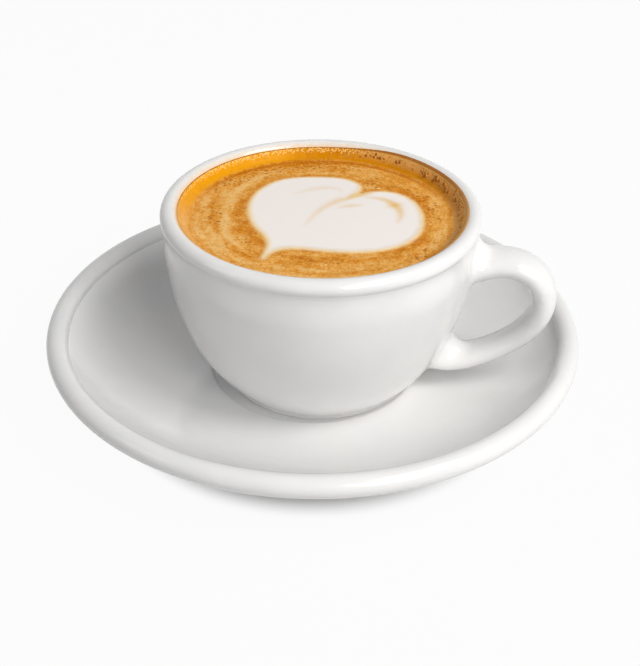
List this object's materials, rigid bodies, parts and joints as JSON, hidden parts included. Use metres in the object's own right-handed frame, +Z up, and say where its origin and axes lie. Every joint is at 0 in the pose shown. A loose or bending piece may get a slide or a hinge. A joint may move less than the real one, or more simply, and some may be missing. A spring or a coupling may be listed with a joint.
{
  "type": "cup of cappuccino",
  "caption": "White glazed cup of cappuccino with a milk-foam heart on the crema, standing with its loop handle in the well of a round saucer.",
  "frame": {"origin": "centre of the saucer's outline, on the table it stands on", "axes": "+Z up; +X toward the cup's handle, which is turned 10 degrees toward -Y; -Y toward the side the picture was taken from"},
  "size_m": [0.1564, 0.1564, 0.0618],
  "materials": {
    "saucer_glaze": "gloss",
    "cup_glaze": "gloss",
    "crema": "satin",
    "milk_foam": "satin"
  },
  "bodies": {
    "root": {"saucer": "saucer_glaze", "cup": "cup_glaze", "coffee": "crema", "milk_heart": "milk_foam"}
  },
  "joints": []
}
